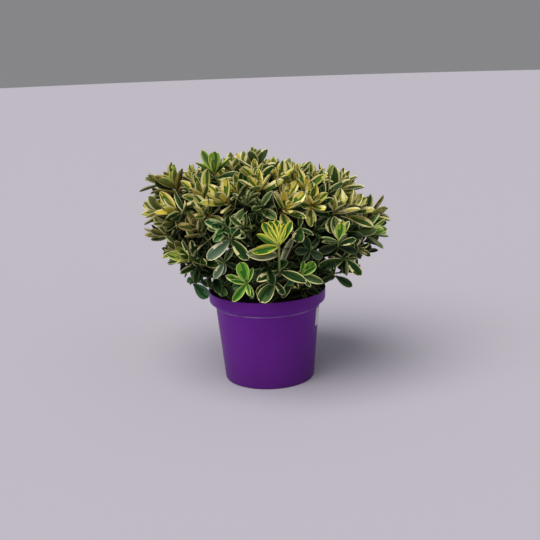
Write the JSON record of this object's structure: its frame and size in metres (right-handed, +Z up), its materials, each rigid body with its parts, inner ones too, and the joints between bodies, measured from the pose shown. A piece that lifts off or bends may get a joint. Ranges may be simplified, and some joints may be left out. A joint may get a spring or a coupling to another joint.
{
  "type": "potted variegated hebe",
  "caption": "Rounded evergreen shrub with cream-edged leaves on short woody limbs, growing in compost in a round tapered plastic nursery pot with a deep rim.",
  "frame": {"origin": "centre of the pot's flat underside", "axes": "+Z up along the pot's axis; the front that the picture shows faces -Y, with its right-hand side at +X"},
  "size_m": [0.4869, 0.501, 0.4637],
  "materials": {
    "purple_plastic": "satin moulded polypropylene",
    "compost": "loose dark bark and peat compost",
    "sticker_paper": "blank coated paper",
    "hebe_bark": "thin fissured bark with leaf scars",
    "foliage_skirt": "leathery leaves, green with cream edges",
    "foliage_side": "leathery leaves, dark green with cream edges",
    "foliage_shoulder": "leathery leaves with wide yellow edges",
    "foliage_crest": "leathery leaves with wide yellow edges",
    "foliage_top": "leathery leaves with yellow-green edges"
  },
  "bodies": {
    "root": {"pot": "purple_plastic", "compost": "compost", "sticker": "sticker_paper", "trunk": "hebe_bark", "limb_skirt_1": "hebe_bark", "limb_skirt_2": "hebe_bark", "limb_skirt_3": "hebe_bark", "limb_skirt_4": "hebe_bark", "limb_skirt_5": "hebe_bark", "limb_skirt_6": "hebe_bark", "limb_side_1": "hebe_bark", "limb_side_2": "hebe_bark", "limb_side_3": "hebe_bark", "limb_side_4": "hebe_bark", "limb_side_5": "hebe_bark", "limb_side_6": "hebe_bark", "limb_side_7": "hebe_bark", "limb_side_8": "hebe_bark", "limb_shoulder_1": "hebe_bark", "limb_shoulder_2": "hebe_bark", "limb_shoulder_3": "hebe_bark", "limb_shoulder_4": "hebe_bark", "limb_shoulder_5": "hebe_bark", "limb_shoulder_6": "hebe_bark", "limb_crest_1": "hebe_bark", "limb_crest_2": "hebe_bark", "limb_crest_3": "hebe_bark", "limb_top_1": "hebe_bark", "mass_skirt_1": "foliage_skirt", "mass_skirt_2": "foliage_skirt", "mass_skirt_3": "foliage_skirt", "mass_skirt_4": "foliage_skirt", "mass_skirt_5": "foliage_skirt", "mass_skirt_6": "foliage_skirt", "mass_side_1": "foliage_side", "mass_side_2": "foliage_side", "mass_side_3": "foliage_side", "mass_side_4": "foliage_side", "mass_side_5": "foliage_side", "mass_side_6": "foliage_side", "mass_side_7": "foliage_side", "mass_side_8": "foliage_side", "mass_shoulder_1": "foliage_shoulder", "mass_shoulder_2": "foliage_shoulder", "mass_shoulder_3": "foliage_shoulder", "mass_shoulder_4": "foliage_shoulder", "mass_shoulder_5": "foliage_shoulder", "mass_shoulder_6": "foliage_shoulder", "mass_crest_1": "foliage_crest", "mass_crest_2": "foliage_crest", "mass_crest_3": "foliage_crest", "mass_top_1": "foliage_top"}
  },
  "joints": []
}
